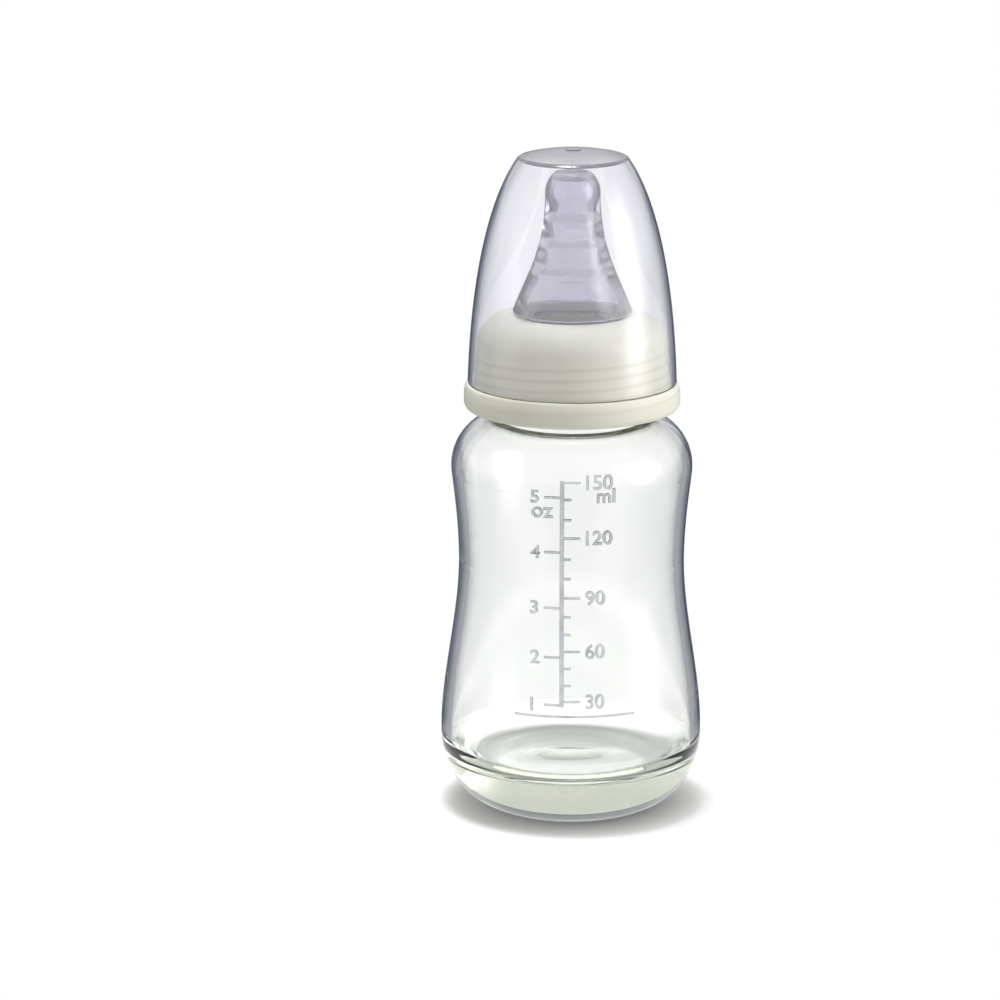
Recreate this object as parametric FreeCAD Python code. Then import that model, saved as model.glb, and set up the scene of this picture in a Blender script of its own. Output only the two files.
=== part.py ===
import FreeCAD, Part
import math
import os

# A baby bottle: a waisted glass bottle, a silicone teat on its lip, a screw ring that holds the teat
# down, and a clear hood pushed over the ring. Every piece is round about Z, and the foot is at Z = 0.
# All lengths are millimetres.

# Glass bottle
foot_radius = 17.5
foot_width = 3.0
punt_rise = 0.8
bulge_radius = 31.5
bulge_height = 17.5
waist_radius = 27.1
waist_height = 60.5
shoulder_radius = 28.9
shoulder_height = 83.5
shoulder_round = 12.5
shoulder_flare = math.radians(5.8)
glass_wall = 2.4
floor_thickness = 10.2
floor_edge_radius = 22.0
floor_edge_height = 11.5
neck_radius = 18.9
neck_wall = 2.9
neck_height = 18.2
neck_fillet = 1.2
lip_round = 0.8

# Screw ring
thread_depth = 1.2
thread_clearance = 0.3
ring_wall = 2.2
ring_lift = 1.5
ring_top_thickness = 3.9
flange_height = 6.4
flange_ledge = 0.9
flange_bottom_round = 1.8
flange_top_round = 3.2
skirt_flare = 0.8
dome_height = 6.1
hole_radius = 13.2
hole_round = 0.8

# Silicone teat
teat_flange_thickness = 2.3
teat_flange_inset = 0.3
teat_flange_round = 0.7
teat_clearance = 0.3
teat_overhang = 1.0
teat_overhang_round = 0.6
teat_height = 33.8
teat_wall = 1.9
ball_radius = 6.55
ball_wall = 1.7
tip_flat = 1.7
tip_rim_width = 0.9
tip_rim_round = 0.3
tip_recess = 0.7
tip_thickness = 1.2
feed_hole_radius = 0.4
vent_hole_radius = 0.6
rib_count = 3
rib_pitch = 6.3
rib_height = 0.9
rib_drop = 4.0

# Hood
hood_wall = 1.2
hood_clearance = 0.35
hood_headroom = 2.2
crown_radius = 13.2
crown_round = 1.0
crown_rise = 1.5
crown_slant = math.radians(35)

# How far each curve's handles reach, as a share of the curve's own height
quarter_handle = 0.5523
flare_handles = (0.42, 0.18)
cone_handles = (0.48, 0.32)
hood_handles = (0.215, 0.315)

# Lean of the cone and of the hood where they start to rise, as run over rise
cone_lean = -0.4
hood_lean = -0.03

# Heights and radii that follow from the sizes above
shoulder_center = shoulder_radius - shoulder_round
shoulder_top = shoulder_height + shoulder_round
bore_radius = neck_radius - neck_wall
lip_height = shoulder_top + neck_height
ring_bottom = shoulder_top + ring_lift
seat_height = ring_bottom + flange_height
ceiling_height = lip_height + teat_flange_thickness
ring_top = ceiling_height + ring_top_thickness
ring_bore_radius = neck_radius + thread_depth + thread_clearance
skirt_top_radius = ring_bore_radius + ring_wall
skirt_bottom_radius = skirt_top_radius + skirt_flare
hood_radius = skirt_bottom_radius + hood_clearance + hood_wall
flange_radius = hood_radius + flange_ledge
groove_radius = hole_radius - teat_clearance
teat_tip = ring_top + teat_height
ball_height = teat_tip - ball_radius + tip_flat
crown_height = teat_tip + hood_headroom + hood_wall


def point(radius, height):
    return FreeCAD.Vector(radius, 0, height)


# A point on a circle about a centre, at an angle up from level.
def on_circle(center_radius, center_height, radius, angle):
    return point(center_radius + radius * math.cos(angle), center_height + radius * math.sin(angle))


# The middle of a round cap's arc, from its edge to its top on the axis.
def cap_middle(edge_radius, edge_height, top_height):
    rise = top_height - edge_height
    sphere_radius = (edge_radius ** 2 + rise ** 2) / (2 * rise)
    edge_angle = math.acos(edge_radius / sphere_radius)
    return on_circle(0, top_height - sphere_radius, sphere_radius, (edge_angle + math.pi / 2) / 2)


# A closed outline of radius and height, drawn from point to point and then turned about Z.
class Outline:
    def __init__(self, radius, height):
        self.start = point(radius, height)
        self.here = self.start
        self.edges = []

    def add(self, edge, end):
        self.edges.append(edge.toShape())
        self.here = end

    def line(self, radius, height):
        end = point(radius, height)
        self.add(Part.LineSegment(self.here, end), end)

    def arc(self, middle, radius, height):
        end = point(radius, height)
        self.add(Part.Arc(self.here, middle, end), end)

    def curve(self, first_handle, second_handle, end):
        bezier = Part.BezierCurve()
        bezier.setPoles([self.here, first_handle, second_handle, end])
        self.add(bezier, end)
        return bezier

    # A quarter round that bends towards its corner.
    def corner(self, corner_radius, corner_height, radius, height):
        bend = point(corner_radius, corner_height)
        end = point(radius, height)
        first_handle = self.here + (bend - self.here) * quarter_handle
        second_handle = end + (bend - end) * quarter_handle
        self.curve(first_handle, second_handle, end)

    # An S curve that is upright at both ends.
    def sway(self, radius, height):
        rise = point(0, (height - self.here.z) / 3)
        end = point(radius, height)
        self.curve(self.here + rise, end - rise, end)

    # An S curve that is level at both ends.
    def swell(self, radius, height):
        run = point((radius - self.here.x) / 3, 0)
        end = point(radius, height)
        self.curve(self.here + run, end - run, end)

    def solid(self):
        self.line(self.start.x, self.start.z)
        face = Part.Face(Part.Wire(self.edges))
        return face.revolve(point(0, 0), FreeCAD.Vector(0, 0, 1), 360)


# The radius at which a curve passes a height.
def radius_at(curve, height):
    level = Part.LineSegment(point(0, height), point(flange_radius, height))
    return curve.intersectCC(level)[0].X


# The height where the shoulder's arc passes a radius, and where its tangent there meets another radius.
def shoulder_at(radius, arc_radius, tangent_radius):
    offset = radius - shoulder_center
    rise = math.sqrt(arc_radius ** 2 - offset ** 2)
    height = shoulder_height + rise
    return height, height + (radius - tangent_radius) * offset / rise


def bottle():
    waist_handle, shoulder_handle = flare_handles
    flare_end = on_circle(shoulder_center, shoulder_height, shoulder_round, -shoulder_flare)
    flare_rise = flare_end.z - waist_height
    flare_way = point(math.sin(shoulder_flare), math.cos(shoulder_flare))
    waist_lead = point(waist_radius, waist_height + waist_handle * flare_rise)
    shoulder_lead = flare_end - flare_way * (shoulder_handle * flare_rise)
    wall = point(glass_wall, 0)
    inner_round = shoulder_round - glass_wall
    outer_middle = on_circle(shoulder_center, shoulder_height, shoulder_round, shoulder_flare)
    inner_middle = on_circle(shoulder_center, shoulder_height, inner_round, shoulder_flare)
    neck_foot_radius = neck_radius + neck_fillet
    neck_foot, neck_bend = shoulder_at(neck_foot_radius, shoulder_round, neck_radius)
    bore_foot_radius = bore_radius + neck_fillet
    bore_foot, bore_bend = shoulder_at(bore_foot_radius, inner_round, bore_radius)
    inner_bulge_radius = bulge_radius - glass_wall

    # Outside, from under the foot up to the lip
    glass = Outline(0, punt_rise)
    glass.swell(foot_radius - foot_width, 0)
    glass.line(foot_radius, 0)
    glass.corner(bulge_radius, 0, bulge_radius, bulge_height)
    glass.sway(waist_radius, waist_height)
    glass.curve(waist_lead, shoulder_lead, flare_end)
    glass.arc(outer_middle, neck_foot_radius, neck_foot)
    glass.corner(neck_radius, neck_bend, neck_radius, neck_bend + neck_fillet)
    glass.line(neck_radius, lip_height - lip_round)
    glass.corner(neck_radius, lip_height, neck_radius - lip_round, lip_height)
    glass.line(bore_radius + lip_round, lip_height)

    # Inside, from the lip down to the floor
    glass.corner(bore_radius, lip_height, bore_radius, lip_height - lip_round)
    glass.line(bore_radius, bore_bend + neck_fillet)
    glass.corner(bore_radius, bore_bend, bore_foot_radius, bore_foot)
    glass.arc(inner_middle, flare_end.x - glass_wall, flare_end.z)
    glass.curve(shoulder_lead - wall, waist_lead - wall, point(waist_radius - glass_wall, waist_height))
    glass.sway(inner_bulge_radius, bulge_height)
    glass.corner(inner_bulge_radius, floor_edge_height, floor_edge_radius, floor_edge_height)
    glass.swell(0, punt_rise + floor_thickness)
    return glass.solid()


def screw_ring():
    ring = Outline(ring_bore_radius, ring_bottom)

    # The flange that the hood stands on
    ring.line(flange_radius - flange_bottom_round, ring_bottom)
    ring.corner(flange_radius, ring_bottom, flange_radius, ring_bottom + flange_bottom_round)
    ring.line(flange_radius, seat_height - flange_top_round)
    ring.corner(flange_radius, seat_height, hood_radius, seat_height)
    ring.line(skirt_bottom_radius, seat_height)

    # The skirt, the dome and the hole that the teat stands through
    ring.line(skirt_top_radius, ring_top - dome_height)
    ring.corner(skirt_top_radius, ring_top, hole_radius + hole_round, ring_top)
    ring.corner(hole_radius, ring_top, hole_radius, ring_top - hole_round)
    ring.line(hole_radius, ceiling_height)
    ring.line(ring_bore_radius, ceiling_height)
    return ring.solid()


def teat():
    shaft_handle, cone_handle = cone_handles
    tip_radius = math.sqrt(ball_radius ** 2 - (ball_radius - tip_flat) ** 2)
    tip_angle = math.acos(tip_radius / ball_radius)
    tip_floor = teat_tip - tip_recess
    rim_radius = tip_radius - tip_rim_width
    overhang_radius = hole_radius + teat_overhang
    overhang_bottom = ring_top + teat_clearance
    cone_foot = point(overhang_radius, overhang_bottom + teat_overhang_round)
    cone_rise = ball_height - cone_foot.z
    shaft_lead = point(ball_radius, ball_height - shaft_handle * cone_rise)
    cone_lead = cone_foot + point(cone_lean, 1) * (cone_handle * cone_rise)
    edge_radius = neck_radius - teat_flange_inset
    inner_radius = groove_radius - teat_wall
    cavity_radius = ball_radius - ball_wall
    cavity_top = tip_floor - tip_thickness
    cavity_angle = math.asin((cavity_top - ball_height) / cavity_radius)

    # Outside, from the feed hole in the recessed tip down to the cone's overhang
    silicone = Outline(feed_hole_radius, tip_floor)
    silicone.line(rim_radius - tip_rim_round, tip_floor)
    silicone.corner(rim_radius, tip_floor, rim_radius, tip_floor + tip_rim_round)
    silicone.corner(rim_radius, teat_tip, rim_radius + tip_rim_round, teat_tip)
    silicone.line(tip_radius, teat_tip)
    silicone.arc(on_circle(0, ball_height, ball_radius, tip_angle / 2), ball_radius, ball_height)
    cone = silicone.curve(shaft_lead, cone_lead, cone_foot)
    silicone.corner(overhang_radius, overhang_bottom, groove_radius, overhang_bottom)

    # The groove that the ring's hole sits in, and the flange between ring and lip
    silicone.line(groove_radius, ceiling_height)
    silicone.line(edge_radius - teat_flange_round, ceiling_height)
    silicone.corner(edge_radius, ceiling_height, edge_radius, ceiling_height - teat_flange_round)
    silicone.line(edge_radius, lip_height + teat_flange_round)
    silicone.corner(edge_radius, lip_height, edge_radius - teat_flange_round, lip_height)
    silicone.line(inner_radius, lip_height)

    # Inside, up the cone, over the ribs and round the ball
    silicone.line(inner_radius, ring_top + teat_wall)
    for rib in reversed(range(rib_count)):
        crest = ball_height - rib_drop - rib * rib_pitch
        pocket = crest - rib_pitch / 2
        silicone.sway(radius_at(cone, pocket) - teat_wall, pocket)
        silicone.sway(radius_at(cone, crest) - teat_wall - rib_height, crest)
    silicone.sway(cavity_radius, ball_height)
    cavity_end = on_circle(0, ball_height, cavity_radius, cavity_angle)
    silicone.arc(on_circle(0, ball_height, cavity_radius, cavity_angle / 2), cavity_end.x, cavity_end.z)
    silicone.line(feed_hole_radius, cavity_top)

    # The air vent through the flange, over the bottle's bore
    vent_place = point((groove_radius + bore_radius) / 2, lip_height - vent_hole_radius)
    vent = Part.makeCylinder(vent_hole_radius, teat_flange_thickness + 2 * vent_hole_radius, vent_place)
    return silicone.solid().cut(vent)


def hood():
    rim_handle, crown_handle = hood_handles
    side_rise = crown_height - seat_height
    rim = point(hood_radius, seat_height)
    edge = point(crown_radius, crown_height)
    rim_lead = point(hood_lean, 1) * (rim_handle * side_rise)
    edge_lead = point(math.sin(crown_slant), -math.cos(crown_slant)) * (crown_handle * side_rise)
    inner_rim = rim - point(hood_wall, 0)
    inner_edge = edge - point(math.cos(crown_slant), math.sin(crown_slant)) * hood_wall
    crown_edge = crown_radius - crown_round
    crown_bend = crown_radius - crown_round * math.sin(crown_slant)
    crown_shoulder = crown_height + crown_round * math.sin(crown_slant)
    peak = crown_shoulder + crown_rise
    inner_peak = peak - hood_wall

    shell = Outline(rim.x, rim.z)
    shell.curve(rim + rim_lead, edge + edge_lead, edge)
    shell.corner(crown_bend, crown_shoulder, crown_edge, crown_shoulder)
    shell.arc(cap_middle(crown_edge, crown_shoulder, peak), 0, peak)
    shell.line(0, inner_peak)
    shell.arc(cap_middle(inner_edge.x, inner_edge.z, inner_peak), inner_edge.x, inner_edge.z)
    shell.curve(inner_edge + edge_lead, inner_rim + rim_lead, inner_rim)
    return shell.solid()


pieces = {
    "bottle": bottle(),
    "teat": teat(),
    "screw_ring": screw_ring(),
    "hood": hood(),
}

os.makedirs("parts", exist_ok=True)
for name, shape in pieces.items():
    shape.exportStep(f"parts/{name}.step")
    print(name, shape.isValid(), round(shape.Volume), "cubic mm")
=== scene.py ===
import math

import bpy
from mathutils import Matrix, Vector


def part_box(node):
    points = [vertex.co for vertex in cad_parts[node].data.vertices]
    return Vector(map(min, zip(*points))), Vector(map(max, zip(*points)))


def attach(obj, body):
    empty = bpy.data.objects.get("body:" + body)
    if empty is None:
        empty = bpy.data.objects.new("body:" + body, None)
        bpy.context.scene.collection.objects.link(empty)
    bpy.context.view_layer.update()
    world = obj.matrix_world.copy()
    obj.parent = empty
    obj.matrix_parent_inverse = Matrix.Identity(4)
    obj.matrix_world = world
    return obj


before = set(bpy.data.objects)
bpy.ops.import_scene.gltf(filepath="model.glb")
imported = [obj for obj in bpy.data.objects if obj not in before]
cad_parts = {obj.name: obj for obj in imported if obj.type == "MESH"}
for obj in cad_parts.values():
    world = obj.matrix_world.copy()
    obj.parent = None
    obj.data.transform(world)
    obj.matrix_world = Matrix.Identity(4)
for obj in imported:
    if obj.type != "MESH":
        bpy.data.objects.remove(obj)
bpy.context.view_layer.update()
bpy.ops.object.select_all(action="DESELECT")
scene = bpy.context.scene
scene.view_settings.view_transform = "Standard"
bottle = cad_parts["bottle"]

white = (1.0, 1.0, 1.0, 1)
threadPitch = 0.005


# node helpers

def newMaterial(name):
    material = bpy.data.materials.new(name)
    material.use_nodes = True
    nodes = material.node_tree.nodes
    return material, nodes, material.node_tree.links, nodes["Principled BSDF"]


def mathNode(nodes, links, operation, *values):
    node = nodes.new("ShaderNodeMath")
    node.operation = operation
    for socket, value in zip(node.inputs, values):
        if isinstance(value, (int, float)):
            socket.default_value = value
        else:
            links.new(value, socket)
    return node.outputs[0]


def rangeNode(nodes, links, value, low, high, start=0.0, end=1.0):
    node = nodes.new("ShaderNodeMapRange")
    node.interpolation_type = "SMOOTHSTEP"
    links.new(value, node.inputs["Value"])
    node.inputs["From Min"].default_value = start
    node.inputs["From Max"].default_value = end
    node.inputs["To Min"].default_value = low
    node.inputs["To Max"].default_value = high
    return node.outputs["Result"]


def colourMix(nodes, links, factor, first, second):
    node = nodes.new("ShaderNodeMix")
    node.data_type = "RGBA"
    links.new(factor, node.inputs["Factor"])
    for name, colour in (("A", first), ("B", second)):
        if isinstance(colour, tuple):
            node.inputs[name].default_value = colour
        else:
            links.new(colour, node.inputs[name])
    return node.outputs["Result"]


def objectPlace(nodes):
    return nodes.new("ShaderNodeTexCoord").outputs["Object"]


def axesOf(nodes, links, vector):
    apart = nodes.new("ShaderNodeSeparateXYZ")
    links.new(vector, apart.inputs[0])
    return apart.outputs


# true until the path has met a matt surface
def firstLookOf(nodes, links, path):
    return mathNode(nodes, links, "LESS_THAN", path["Diffuse Depth"], 0.5)


# the slow ripple and the fine haze that moulded glass and plastic have

mouldedTexture = {
    "rippleDetail": 1.5, "rippleDistortion": 0.0, "rippleRange": (0.25, 0.75),
    "hazeDetail": 5.0, "hazeDistortion": 0.4, "hazeRange": (0.3, 0.7),
}


def mouldedSurfaceGroup(settings):
    group = bpy.data.node_groups.new("moulded_surface", "ShaderNodeTree")
    for name, way, kind in (("Place", "INPUT", "NodeSocketVector"),
                            ("Ripple Scale", "INPUT", "NodeSocketFloat"),
                            ("Haze Scale", "INPUT", "NodeSocketFloat"),
                            ("Ripple", "OUTPUT", "NodeSocketFloat"),
                            ("Haze", "OUTPUT", "NodeSocketFloat")):
        group.interface.new_socket(name, in_out=way, socket_type=kind)
    nodes, links = group.nodes, group.links
    given = nodes.new("NodeGroupInput")
    made = nodes.new("NodeGroupOutput")
    for name in ("Ripple", "Haze"):
        key = name.lower()
        noise = nodes.new("ShaderNodeTexNoise")
        noise.inputs["Detail"].default_value = settings[key + "Detail"]
        noise.inputs["Distortion"].default_value = settings[key + "Distortion"]
        links.new(given.outputs["Place"], noise.inputs["Vector"])
        links.new(given.outputs[name + " Scale"], noise.inputs["Scale"])
        spread = rangeNode(nodes, links, noise.outputs[0], 0.0, 1.0, *settings[key + "Range"])
        links.new(spread, made.inputs[name])
    return group


mouldedSurface = mouldedSurfaceGroup(mouldedTexture)


def placeSurface(nodes, links, look):
    surface = nodes.new("ShaderNodeGroup")
    surface.node_tree = mouldedSurface
    links.new(objectPlace(nodes), surface.inputs["Place"])
    surface.inputs["Ripple Scale"].default_value = look["rippleScale"]
    surface.inputs["Haze Scale"].default_value = look["hazeScale"]
    return surface.outputs


def rippleNormal(nodes, links, ripple, look, shader):
    bump = nodes.new("ShaderNodeBump")
    bump.inputs["Strength"].default_value = look["rippleStrength"]
    bump.inputs["Distance"].default_value = look["rippleDepth"]
    links.new(ripple, bump.inputs["Height"])
    links.new(bump.outputs["Normal"], shader.inputs["Normal"])


# finishes

bottleGlassLook = {
    "tint": white, "tintDeep": (0.985, 0.992, 0.988, 1),
    "roughness": (0.0, 0.012), "ior": 1.52, "transmission": 1.0,
    "rippleScale": 45.0, "hazeScale": 260.0, "rippleStrength": 0.10, "rippleDepth": 0.0004,
    "absorbColour": (0.80, 0.84, 0.72, 1), "absorbDensity": 18.0,
}

# the grey tint is painted shade, darkening the whole relief as its shaded edges would; the roughness
# frosts it
scaleGlassLook = {
    "tint": (0.72, 0.73, 0.75, 1), "tintDeep": (0.56, 0.57, 0.60, 1),
    "roughness": (0.12, 0.28), "ior": 1.52, "transmission": 1.0,
    "rippleScale": 300.0, "hazeScale": 900.0, "rippleStrength": 0.25, "rippleDepth": 0.0002,
}

hoodLook = {
    "tint": (0.958, 0.955, 0.975, 1), "tintDeep": (0.925, 0.922, 0.955, 1),
    # the rim tint is painted shade, darkening the hood's edges
    "paintedRimShadeAndSheen": (0.84, 0.838, 0.905, 1), "paintedRimBlend": 0.30,
    "roughness": (0.0, 0.03), "ior": 1.49, "transmission": 1.0,
    "satinFrom": 0.1570, "satinFull": 0.1584, "satinRoughness": 0.27,
    "rippleScale": 60.0, "hazeScale": 400.0, "rippleStrength": 0.06, "rippleDepth": 0.0003,
}

teatLook = {
    "tint": (0.84, 0.835, 0.88, 1), "tintDeep": (0.79, 0.785, 0.84, 1),
    # the rim tint is painted sheen, lightening the teat's edges
    "paintedRimShadeAndSheen": (0.985, 0.98, 0.995, 1), "paintedRimBlend": 0.55,
    "roughness": (0.02, 0.08), "ior": 1.41, "transmission": 0.90,
    "rippleScale": 120.0, "hazeScale": 700.0, "rippleStrength": 0.06, "rippleDepth": 0.0003,
}

ringLook = {
    "tint": (0.87, 0.87, 0.745, 1), "tintDeep": (0.82, 0.815, 0.69, 1),
    # the bands are painted shade of the thread seen through the wall
    "paintedBandShade": (0.66, 0.66, 0.53, 1), "bandShare": 0.45, "bandsPerPitch": 2,
    "bandLow": 0.0995, "bandFadeIn": 0.004, "bandTop": 0.1140, "bandFadeOut": 0.003,
    "roughness": (0.33, 0.37), "subsurface": 0.25, "subsurfaceReach": (0.004, 0.004, 0.003),
    "rippleScale": 70.0, "hazeScale": 600.0, "rippleStrength": 0.05, "rippleDepth": 0.0003,
}


def clearFinish(name, look):
    material, nodes, links, shader = newMaterial(name)
    surface = placeSurface(nodes, links, look)
    tint = colourMix(nodes, links, surface["Ripple"], look["tint"], look["tintDeep"])
    # painted rim: shade on the hood, sheen on the teat, growing as the wall faces away
    if "paintedRimShadeAndSheen" in look:  # where the wall turns away from the eye
        rim = nodes.new("ShaderNodeLayerWeight")
        rim.inputs["Blend"].default_value = look["paintedRimBlend"]
        tint = colourMix(nodes, links, rim.outputs["Facing"], tint, look["paintedRimShadeAndSheen"])
    links.new(tint, shader.inputs["Base Color"])
    roughness = rangeNode(nodes, links, surface["Haze"], *look["roughness"])
    if "satinRoughness" in look:  # the crown of the hood
        height = axesOf(nodes, links, objectPlace(nodes))["Z"]
        satin = rangeNode(nodes, links, height, 0.0, look["satinRoughness"],
                          look["satinFrom"], look["satinFull"])
        roughness = mathNode(nodes, links, "MAXIMUM", roughness, satin)
    links.new(roughness, shader.inputs["Roughness"])
    rippleNormal(nodes, links, surface["Ripple"], look, shader)
    shader.inputs["IOR"].default_value = look["ior"]
    shader.inputs["Transmission Weight"].default_value = look["transmission"]
    if "absorbDensity" in look:
        absorb = nodes.new("ShaderNodeVolumeAbsorption")
        absorb.inputs["Color"].default_value = look["absorbColour"]
        absorb.inputs["Density"].default_value = look["absorbDensity"]
        links.new(absorb.outputs["Volume"], nodes["Material Output"].inputs["Volume"])
    return material


# painted shade: darker bands that climb with the thread, standing in for the thread's flanks showing
# through the milky wall
def threadBands(nodes, links, look):
    place = axesOf(nodes, links, objectPlace(nodes))
    angle = mathNode(nodes, links, "ARCTAN2", place["Y"], place["X"])
    turn = mathNode(nodes, links, "DIVIDE", angle, 2 * math.pi)
    rise = mathNode(nodes, links, "DIVIDE", place["Z"], threadPitch)
    climb = mathNode(nodes, links, "SUBTRACT", rise, turn)
    phase = mathNode(nodes, links, "MULTIPLY", climb, 2 * math.pi * look["bandsPerPitch"])
    band = rangeNode(nodes, links, mathNode(nodes, links, "COSINE", phase), 0.0, look["bandShare"])
    begun = rangeNode(nodes, links, place["Z"], 0.0, 1.0,
                      look["bandLow"], look["bandLow"] + look["bandFadeIn"])
    going = rangeNode(nodes, links, place["Z"], 1.0, 0.0,
                      look["bandTop"] - look["bandFadeOut"], look["bandTop"])
    return mathNode(nodes, links, "MULTIPLY", band, mathNode(nodes, links, "MULTIPLY", begun, going))


def milkyFinish(name, look):
    material, nodes, links, shader = newMaterial(name)
    surface = placeSurface(nodes, links, look)
    plain = colourMix(nodes, links, surface["Ripple"], look["tint"], look["tintDeep"])
    # the painted thread shade goes into the ring's colour
    withPaintedBands = colourMix(nodes, links, threadBands(nodes, links, look), plain, look["paintedBandShade"])
    links.new(withPaintedBands, shader.inputs["Base Color"])
    roughness = rangeNode(nodes, links, surface["Haze"], *look["roughness"])
    links.new(roughness, shader.inputs["Roughness"])
    rippleNormal(nodes, links, surface["Ripple"], look, shader)
    shader.inputs["Subsurface Weight"].default_value = look["subsurface"]
    shader.inputs["Subsurface Radius"].default_value = look["subsurfaceReach"]
    shader.inputs["Subsurface Scale"].default_value = 1.0
    return material


bottleGlass = clearFinish("clear_glass", bottleGlassLook)
scaleGlass = clearFinish("frosted_shade_tinted_scale_glass", scaleGlassLook)
hoodPlastic = clearFinish("clear_hood_plastic", hoodLook)
teatSilicone = clearFinish("clear_silicone", teatLook)
ringPlastic = milkyFinish("milky_ring_plastic", ringLook)


def wear(piece, material):
    piece.data.materials.clear()
    piece.data.materials.append(material)


wear(bottle, bottleGlass)
wear(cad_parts["hood"], hoodPlastic)
wear(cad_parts["teat"], teatSilicone)
wear(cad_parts["screw_ring"], ringPlastic)
print("finishes on")


# modelling helpers

def only(piece):
    bpy.ops.object.select_all(action="DESELECT")
    piece.select_set(True)
    bpy.context.view_layer.objects.active = piece


def applyModifier(piece, kind, **settings):
    only(piece)
    modifier = piece.modifiers.new(kind.lower(), kind)
    for name, value in settings.items():
        setattr(modifier, name, value)
    bpy.ops.object.modifier_apply(modifier=modifier.name)


def joined(pieces, name):
    only(pieces[0])
    for piece in pieces:
        piece.select_set(True)
    bpy.ops.object.join()
    whole = bpy.context.object
    whole.name = name
    return whole


def placeApplied(piece):
    only(piece)
    bpy.ops.object.transform_apply(location=True, rotation=True, scale=True)


# the raised measuring scale, drawn flat in front of the glass and pressed on to it

scaleRelief = {
    "drawnAt": -0.06,       # Y of the flat drawing
    "relief": 0.00042,
    "sink": 0.9,            # 1 stands all of it proud of the glass
    "barCentre": -0.0027, "barWidth": 0.0010, "barTop": 0.0862, "barBottom": 0.0318,
    "barPiece": 0.0012, "sameSpot": 1e-6, "mergeWithin": 0.000005,
    "tickHeight": 0.00052,
    "longTickEnd": 0.0016, "shortTickEnd": -0.0005, "ounceTickStart": -0.0068,
    "millilitres": {30: 0.0330, 40: 0.0368, 50: 0.0408, 60: 0.0448, 70: 0.0488,
                    80: 0.0530, 90: 0.0575, 100: 0.0622, 110: 0.0670, 120: 0.0722,
                    130: 0.0768, 140: 0.0818, 150: 0.0858},
    "ounces": {1: 0.0322, 2: 0.0434, 3: 0.0551, 4: 0.0687, 5: 0.0823},
    "labelStep": 30, "labelLeft": 0.0029, "labelHeight": 0.0035,
    "ounceLeft": -0.0100, "ounceHeight": 0.0032,
    "units": {"ml": (0.0054, 0.0826, 0.0034), "oz": (-0.0098, 0.0785, 0.0026)},
    "weight": 0.018, "curveSteps": 6, "smoothAngle": math.radians(30),
    "baseLine": (-0.0135, 0.0143, 0.0295, 0.0005),
}


def flatBar(left, right, low, high, settings):
    bpy.ops.object.select_all(action="DESELECT")
    middle = ((left + right) / 2, settings["drawnAt"], (low + high) / 2)
    bpy.ops.mesh.primitive_plane_add(size=1, location=middle, rotation=(math.pi / 2, 0, 0))
    bar = bpy.context.object
    bar.scale = (right - left, high - low, 1)
    placeApplied(bar)
    cuts = max(1, round(max(right - left, high - low) / settings["barPiece"]))
    bpy.ops.object.mode_set(mode="EDIT")
    bpy.ops.mesh.select_mode(type="EDGE")
    bpy.ops.mesh.select_all(action="DESELECT")
    bpy.ops.object.mode_set(mode="OBJECT")
    longWay = 0 if right - left > high - low else 2
    for edge in bar.data.edges:  # the two long sides
        first, second = (bar.data.vertices[index].co for index in edge.vertices)
        edge.select = abs(first[longWay] - second[longWay]) > settings["sameSpot"]
    bpy.ops.object.mode_set(mode="EDIT")
    bpy.ops.mesh.subdivide(number_cuts=cuts)
    bpy.ops.object.mode_set(mode="OBJECT")
    return bar


def flatLabel(words, left, middle, height, settings):
    bpy.ops.object.select_all(action="DESELECT")
    bpy.ops.object.text_add()
    label = bpy.context.object
    label.data.body = words
    label.data.offset = settings["weight"]
    label.data.resolution_u = settings["curveSteps"]
    bpy.ops.object.convert(target="MESH")
    label = bpy.context.object
    across = [corner.co.x for corner in label.data.vertices]
    up = [corner.co.y for corner in label.data.vertices]
    size = height / (max(up) - min(up))
    label.scale = (size, size, size)
    label.rotation_euler = (math.pi / 2, 0, 0)
    label.location = (left - min(across) * size, settings["drawnAt"],
                      middle - (max(up) + min(up)) / 2 * size)
    placeApplied(label)
    return label


def addScale(settings):
    barLeft = settings["barCentre"] - settings["barWidth"] / 2
    barRight = settings["barCentre"] + settings["barWidth"] / 2
    half = settings["tickHeight"] / 2
    bars = [flatBar(barLeft, barRight, settings["barBottom"], settings["barTop"], settings)]
    labels = []
    for amount, height in settings["millilitres"].items():
        isLong = amount % settings["labelStep"] == 0
        end = settings["longTickEnd"] if isLong else settings["shortTickEnd"]
        bars.append(flatBar(barRight, end, height - half, height + half, settings))
        if isLong:
            labels.append(flatLabel(str(amount), settings["labelLeft"], height,
                                    settings["labelHeight"], settings))
    for amount, height in settings["ounces"].items():
        bars.append(flatBar(settings["ounceTickStart"], barLeft, height - half, height + half, settings))
        labels.append(flatLabel(str(amount), settings["ounceLeft"], height,
                                settings["ounceHeight"], settings))
    for unit, (left, height, tall) in settings["units"].items():
        labels.append(flatLabel(unit, left, height, tall, settings))
    left, right, height, thick = settings["baseLine"]
    bars.append(flatBar(left, right, height - thick / 2, height + thick / 2, settings))
    for name, drawn in (("scale_lines", bars), ("scale_numbers", labels)):
        relief = joined(drawn, name)
        bpy.ops.object.mode_set(mode="EDIT")
        bpy.ops.mesh.select_all(action="SELECT")
        bpy.ops.mesh.remove_doubles(threshold=settings["mergeWithin"])
        bpy.ops.object.mode_set(mode="OBJECT")
        applyModifier(relief, "SHRINKWRAP", target=bottle, wrap_method="PROJECT", use_project_y=True,
                      use_positive_direction=True, use_negative_direction=False)
        applyModifier(relief, "SOLIDIFY", thickness=settings["relief"], offset=settings["sink"])
        only(relief)
        bpy.ops.object.shade_smooth_by_angle(angle=settings["smoothAngle"])
        wear(relief, scaleGlass)
        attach(relief, "bottle")


addScale(scaleRelief)
print("measuring scale on the glass")


# screw threads, one ridge on the neck and one in the ring, half a pitch apart

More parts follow.
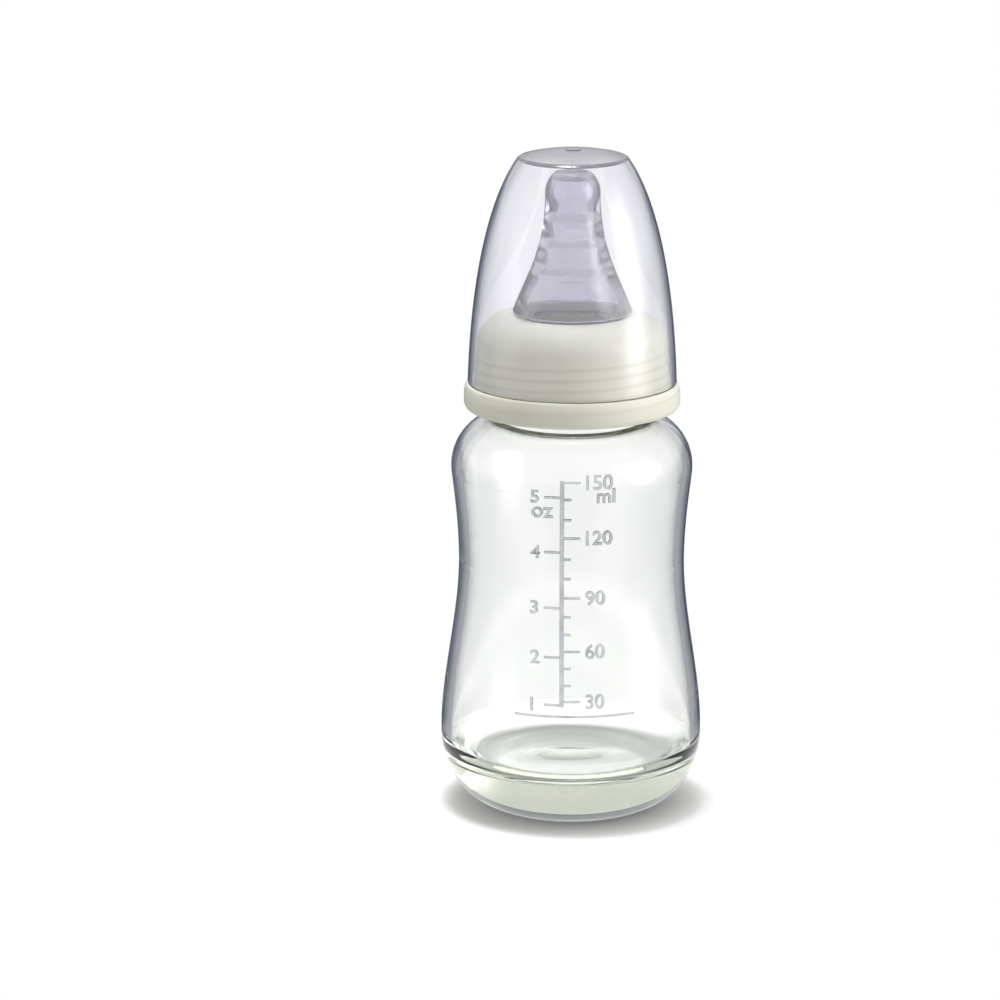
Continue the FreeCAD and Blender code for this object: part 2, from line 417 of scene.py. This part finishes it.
threadShape = {
    "stepsPerTurn": 72,
    "neckRadius": 0.0189, "neckCrest": 0.0201, "neckStart": 0.1015, "neckTurns": 1.75,
    "ringRadius": 0.0204, "ringCrest": 0.0192, "ringStart": 0.0990, "ringTurns": 1.75,
    "rootHalf": 0.0010, "crestHalf": 0.00045, "edgeRound": 0.00025, "edgeSteps": 2,
    "bury": 0.0003, "fadeTurns": 0.12, "mergeWithin": 0.000002, "smoothAngle": math.radians(40),
}


def addThread(name, side, settings):
    rootRadius, crestRadius = settings[side + "Radius"], settings[side + "Crest"]
    startHeight, turns = settings[side + "Start"], settings[side + "Turns"]
    outward = 1 if crestRadius > rootRadius else -1
    buried = rootRadius - outward * settings["bury"]
    bpy.ops.object.select_all(action="DESELECT")
    bpy.ops.mesh.primitive_plane_add(size=1, rotation=(math.pi / 2, 0, 0))
    ridge = bpy.context.object
    bpy.ops.object.transform_apply(location=False, rotation=True, scale=False)
    for corner in ridge.data.vertices:  # the plane's corners become the ridge's cross-section
        atCrest = corner.co.x > 0
        radius = crestRadius if atCrest else buried
        half = settings["crestHalf"] if atCrest else settings["rootHalf"]
        corner.co = (radius, 0, startHeight + (half if corner.co.z > 0 else -half))
    applyModifier(ridge, "BEVEL", width=settings["edgeRound"], segments=settings["edgeSteps"],
                  affect="VERTICES")
    profile = len(ridge.data.vertices)
    bpy.ops.object.mode_set(mode="EDIT")
    bpy.ops.mesh.select_all(action="SELECT")
    bpy.ops.mesh.delete(type="ONLY_FACE")
    bpy.ops.object.mode_set(mode="OBJECT")
    steps = round(turns * settings["stepsPerTurn"])
    applyModifier(ridge, "SCREW", axis="Z", angle=turns * 2 * math.pi, screw_offset=turns * threadPitch,
                  steps=steps, render_steps=steps, use_smooth_shade=True)
    fade = settings["fadeTurns"] * settings["stepsPerTurn"]
    for index, corner in enumerate(ridge.data.vertices):  # both ends run out into the wall
        step = index // profile
        left = min(1.0, step / fade, (steps - step) / fade)
        radius = math.hypot(corner.co.x, corner.co.y)
        shrink = (buried + (radius - buried) * left) / radius
        corner.co.x *= shrink
        corner.co.y *= shrink
    bpy.ops.object.mode_set(mode="EDIT")
    bpy.ops.mesh.select_all(action="SELECT")
    bpy.ops.mesh.remove_doubles(threshold=settings["mergeWithin"])
    bpy.ops.mesh.select_all(action="DESELECT")
    bpy.ops.mesh.select_non_manifold()
    bpy.ops.mesh.edge_face_add()
    bpy.ops.mesh.select_all(action="SELECT")
    bpy.ops.mesh.normals_make_consistent(inside=False)
    bpy.ops.object.mode_set(mode="OBJECT")
    ridge.name = name
    bpy.ops.object.shade_smooth_by_angle(angle=settings["smoothAngle"])
    return ridge


neckThread = addThread("neck_thread", "neck", threadShape)
wear(neckThread, bottleGlass)
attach(neckThread, "bottle")
ringThread = addThread("ring_thread", "ring", threadShape)
wear(ringThread, ringPlastic)
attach(ringThread, "screw_ring")
print("threads cut")


# the mark where the hood's plastic entered the mould, on its crown

gateMark = {
    "radius": 0.0019, "height": 0.0006, "proud": 0.0002, "sides": 48,
    "wall": 0.0007, "dip": 0.00025, "facesUp": 0.9,
    "edge": 0.0001, "edgeSteps": 2, "smoothAngle": math.radians(40),
}


def addGateMark(settings):
    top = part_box("hood")[1].z + settings["proud"]
    bpy.ops.object.select_all(action="DESELECT")
    bpy.ops.mesh.primitive_cylinder_add(vertices=settings["sides"], radius=settings["radius"],
                                        depth=settings["height"],
                                        location=(0, 0, top - settings["height"] / 2))
    mark = bpy.context.object
    placeApplied(mark)
    bpy.ops.object.mode_set(mode="EDIT")
    bpy.ops.mesh.select_mode(type="FACE")
    bpy.ops.mesh.select_all(action="DESELECT")
    bpy.ops.object.mode_set(mode="OBJECT")
    for face in mark.data.polygons:
        face.select = face.normal.z > settings["facesUp"]
    bpy.ops.object.mode_set(mode="EDIT")
    bpy.ops.mesh.inset(thickness=settings["wall"])
    bpy.ops.transform.translate(value=(0, 0, -settings["dip"]))
    bpy.ops.object.mode_set(mode="OBJECT")
    applyModifier(mark, "BEVEL", width=settings["edge"], segments=settings["edgeSteps"],
                  limit_method="ANGLE")
    bpy.ops.object.shade_smooth_by_angle(angle=settings["smoothAngle"])
    mark.name = "hood_gate_mark"
    wear(mark, hoodPlastic)
    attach(mark, "hood")


addGateMark(gateMark)
print("gate mark on the hood")


# camera, where the photograph was taken from

cameraView = {
    "elevation": math.radians(14),
    "distance": 1.05,
    "sensorWidth": 36.0,
    "focalPixels": 4375.0,
    "imagePixels": 1000.0,
    "axisPixel": (571.7, 485.0),  # where the point below shows in the photograph
    "axisHeight": 0.0783,
}


def addCamera(view):
    lean = view["elevation"]
    middle = view["imagePixels"] / 2
    right = view["distance"] * (view["axisPixel"][0] - middle) / view["focalPixels"]
    rise = view["distance"] * (middle - view["axisPixel"][1]) / view["focalPixels"]
    back = view["distance"] * math.cos(lean) + rise * math.sin(lean)
    up = view["axisHeight"] + view["distance"] * math.sin(lean) - rise * math.cos(lean)
    bpy.ops.object.camera_add(location=(-right, -back, up), rotation=(math.pi / 2 - lean, 0, 0))
    camera = bpy.context.object
    camera.data.sensor_width = view["sensorWidth"]
    camera.data.lens = view["sensorWidth"] * view["focalPixels"] / view["imagePixels"]
    scene.camera = camera


# studio: a round white table, a white backdrop and soft lamps

studio = {
    "tableRadius": 0.085, "tableFadesFrom": 0.046, "tableSides": 128, "tableDrop": 0.0001,
    "tableColour": white,
    # a painted contact shadow darkens the table round the heel
    "contactShadowColour": (0.06, 0.06, 0.06, 1), "contactReach": 0.009, "contactInGlass": 0.75,
    "footRadius": 0.0172, "footClear": 0.0205,
    # a glow on the floor as it is seen; under the foot it is a painted pool of light
    "shadeLift": 0.10, "footPaintedLight": 0.22,
    "ambient": 0.48, "ambientThrough": 0.68,
    "backdrop": 1.06,
    "upperWall": (0.72, 0.72, 0.70, 1), "upperWallFrom": 0.0, "upperWallFull": 0.28,
    "roomDark": (0.10, 0.12, 0.165, 1), "roomPale": (0.66, 0.66, 0.68, 1),
    "roomDarkBelow": -0.08, "roomPaleAbove": 0.12,
    "panels": 4, "panelShare": 0.5, "panelFull": -0.9, "panelEnds": 0.5,
}

softLamps = {
    # name: place, aim, size across and up, watts, whether it shows in reflections
    "top_lamp": ((-0.09, 0.03, 1.0), (0.0, 0.0, 0.05), 0.40, 0.40, 18.0, True),
    "right_lamp": ((0.62, -0.12, 0.20), (0.0, 0.0, 0.12), 0.60, 0.75, 2.4, True),
    "right_fill": ((0.62, -0.20, 0.25), (0.0, 0.0, 0.12), 0.60, 0.75, 7.0, False),
    "left_lamp": ((-0.62, -0.12, 0.20), (0.0, 0.0, 0.12), 0.60, 0.75, 0.7, True),
}

lampGlow = {"centre": 0.5, "fullWithin": 0.05, "noneBeyond": 0.5}  # shares of a lamp's size


def addFloor(settings):
    bpy.ops.object.select_all(action="DESELECT")
    bpy.ops.mesh.primitive_circle_add(vertices=settings["tableSides"], radius=settings["tableRadius"],
                                      fill_type="NGON", location=(0, 0, -settings["tableDrop"]))
    floor = bpy.context.object
    floor.name = "studio_floor"
    material, nodes, links, shader = newMaterial("white_floor")
    shader.inputs["Roughness"].default_value = 1
    shader.inputs["Specular IOR Level"].default_value = 0
    outward = nodes.new("ShaderNodeVectorMath")
    outward.operation = "LENGTH"
    links.new(objectPlace(nodes), outward.inputs[0])
    radius = outward.outputs["Value"]

    # the rim fades into the white
    fade = rangeNode(nodes, links, radius, 1.0, 0.0, settings["tableFadesFrom"], settings["tableRadius"])
    links.new(fade, shader.inputs["Alpha"])

    # painted contact shadow: darkest where the heel leaves the table, none on the floor under the foot,
    # and paler where the glass shows it
    shadowOcclusion = nodes.new("ShaderNodeAmbientOcclusion")
    shadowOcclusion.inputs["Distance"].default_value = settings["contactReach"]
    underFoot = rangeNode(nodes, links, radius, 1.0, 0.0, settings["footRadius"], settings["footClear"])
    clear = mathNode(nodes, links, "MAXIMUM", shadowOcclusion.outputs["AO"], underFoot)
    path = nodes.new("ShaderNodeLightPath").outputs
    inGlass = mathNode(nodes, links, "SUBTRACT", 1.0, path["Is Camera Ray"])
    paler = mathNode(nodes, links, "MULTIPLY", inGlass, settings["contactInGlass"])
    clear = mathNode(nodes, links, "MAXIMUM", clear, paler)
    colour = colourMix(nodes, links, clear, settings["contactShadowColour"], settings["tableColour"])
    links.new(colour, shader.inputs["Base Color"])

    # painted light: the floor glows as it is seen, with no light on the object, evenly by the shade lift
    # and more under the foot as a painted pool of light where the glass would gather it
    lit = mathNode(nodes, links, "MULTIPLY_ADD", underFoot, settings["footPaintedLight"], settings["shadeLift"])
    lift = mathNode(nodes, links, "MULTIPLY", firstLookOf(nodes, links, path), lit)
    shader.inputs["Emission Color"].default_value = white
    links.new(lift, shader.inputs["Emission Strength"])
    material.cycles.emission_sampling = "NONE"
    floor.data.materials.append(material)


def addLamps(lamps, settings):
    for name, (place, aim, across, up, watts, shows) in lamps.items():
        way = Vector(aim) - Vector(place)
        bpy.ops.object.light_add(type="AREA", location=place,
                                 rotation=way.to_track_quat("-Z", "Y").to_euler())
        lamp = bpy.context.object
        lamp.name = name
        lamp.visible_camera = False
        lamp.visible_glossy = shows
        lamp.data.shape = "RECTANGLE"
        lamp.data.size = across
        lamp.data.size_y = up
        lamp.data.energy = watts
        lamp.data.use_nodes = True
        nodes, links = lamp.data.node_tree.nodes, lamp.data.node_tree.links
        spot = axesOf(nodes, links, nodes.new("ShaderNodeNewGeometry").outputs["Parametric"])
        falls = []
        for axis in ("X", "Y"):  # brightest in the middle, dim at the rim
            offCentre = mathNode(nodes, links, "SUBTRACT", spot[axis], settings["centre"])
            falls.append(rangeNode(nodes, links, mathNode(nodes, links, "ABSOLUTE", offCentre), 1.0, 0.0,
                                   settings["fullWithin"], settings["noneBeyond"]))
        links.new(mathNode(nodes, links, "MULTIPLY", *falls), nodes["Emission"].inputs["Strength"])


def addWorld(settings):
    world = bpy.data.worlds.new("studio_world")
    scene.world = world
    world.use_nodes = True
    nodes, links = world.node_tree.nodes, world.node_tree.links
    nodes.clear()
    path = nodes.new("ShaderNodeLightPath").outputs

    def backdrop(strength):
        node = nodes.new("ShaderNodeBackground")
        node.inputs["Strength"].default_value = strength
        node.inputs["Color"].default_value = white
        return node

    def mix(factor, first, second):
        node = nodes.new("ShaderNodeMixShader")
        for socket, value in zip(node.inputs, (factor, first, second)):
            links.new(value, socket)
        return node.outputs[0]

    # the camera sees white, also straight through the glass
    firstLook = firstLookOf(nodes, links, path)
    mirrored = mathNode(nodes, links, "GREATER_THAN", path["Glossy Depth"], 0.5)
    plainThrough = mathNode(nodes, links, "SUBTRACT", path["Is Transmission Ray"], mirrored)
    through = mathNode(nodes, links, "MULTIPLY", plainThrough, firstLook)
    seesRoom = mathNode(nodes, links, "MULTIPLY", mirrored, firstLook)
    way = axesOf(nodes, links, nodes.new("ShaderNodeTexCoord").outputs["Generated"])

    # bent upwards by the glass, the look through it ends on the grey wall above the backdrop
    above = rangeNode(nodes, links, way["Z"], 0.0, 1.0,
                      settings["upperWallFrom"], settings["upperWallFull"])
    behind = backdrop(settings["backdrop"])
    wall = colourMix(nodes, links, above, white, settings["upperWall"])
    links.new(wall, behind.inputs["Color"])

    # mirrored, inside the glass or on it, the room shows:
    # dark below the table's height, with pale panels, and pale above
    angle = mathNode(nodes, links, "ARCTAN2", way["Y"], way["X"])
    phase = mathNode(nodes, links, "MULTIPLY", angle, settings["panels"])
    panel = rangeNode(nodes, links, mathNode(nodes, links, "COSINE", phase), settings["panelShare"], 0.0,
                      settings["panelFull"], settings["panelEnds"])
    height = rangeNode(nodes, links, way["Z"], 0.0, 1.0,
                       settings["roomDarkBelow"], settings["roomPaleAbove"])
    pale = mathNode(nodes, links, "MAXIMUM", height, panel)
    room = backdrop(1.0)
    roomColour = colourMix(nodes, links, pale, settings["roomDark"], settings["roomPale"])
    links.new(roomColour, room.inputs["Color"])

    # what lights the pieces, also from outside the glass that covers them
    passed = backdrop(settings["ambientThrough"]).outputs[0]
    ambient = mix(path["Is Transmission Ray"], backdrop(settings["ambient"]).outputs[0], passed)
    lit = mix(seesRoom, ambient, room.outputs[0])
    seen = mix(through, lit, behind.outputs[0])
    shown = mix(path["Is Camera Ray"], seen, backdrop(1.0).outputs[0])
    links.new(shown, nodes.new("ShaderNodeOutputWorld").inputs["Surface"])


addCamera(cameraView)
addFloor(studio)
addLamps(softLamps, lampGlow)
addWorld(studio)
scene.cycles.blur_glossy = 0.0
scene.cycles.max_bounces = 32
scene.cycles.transmission_bounces = 32
scene.cycles.glossy_bounces = 16
print("studio ready")
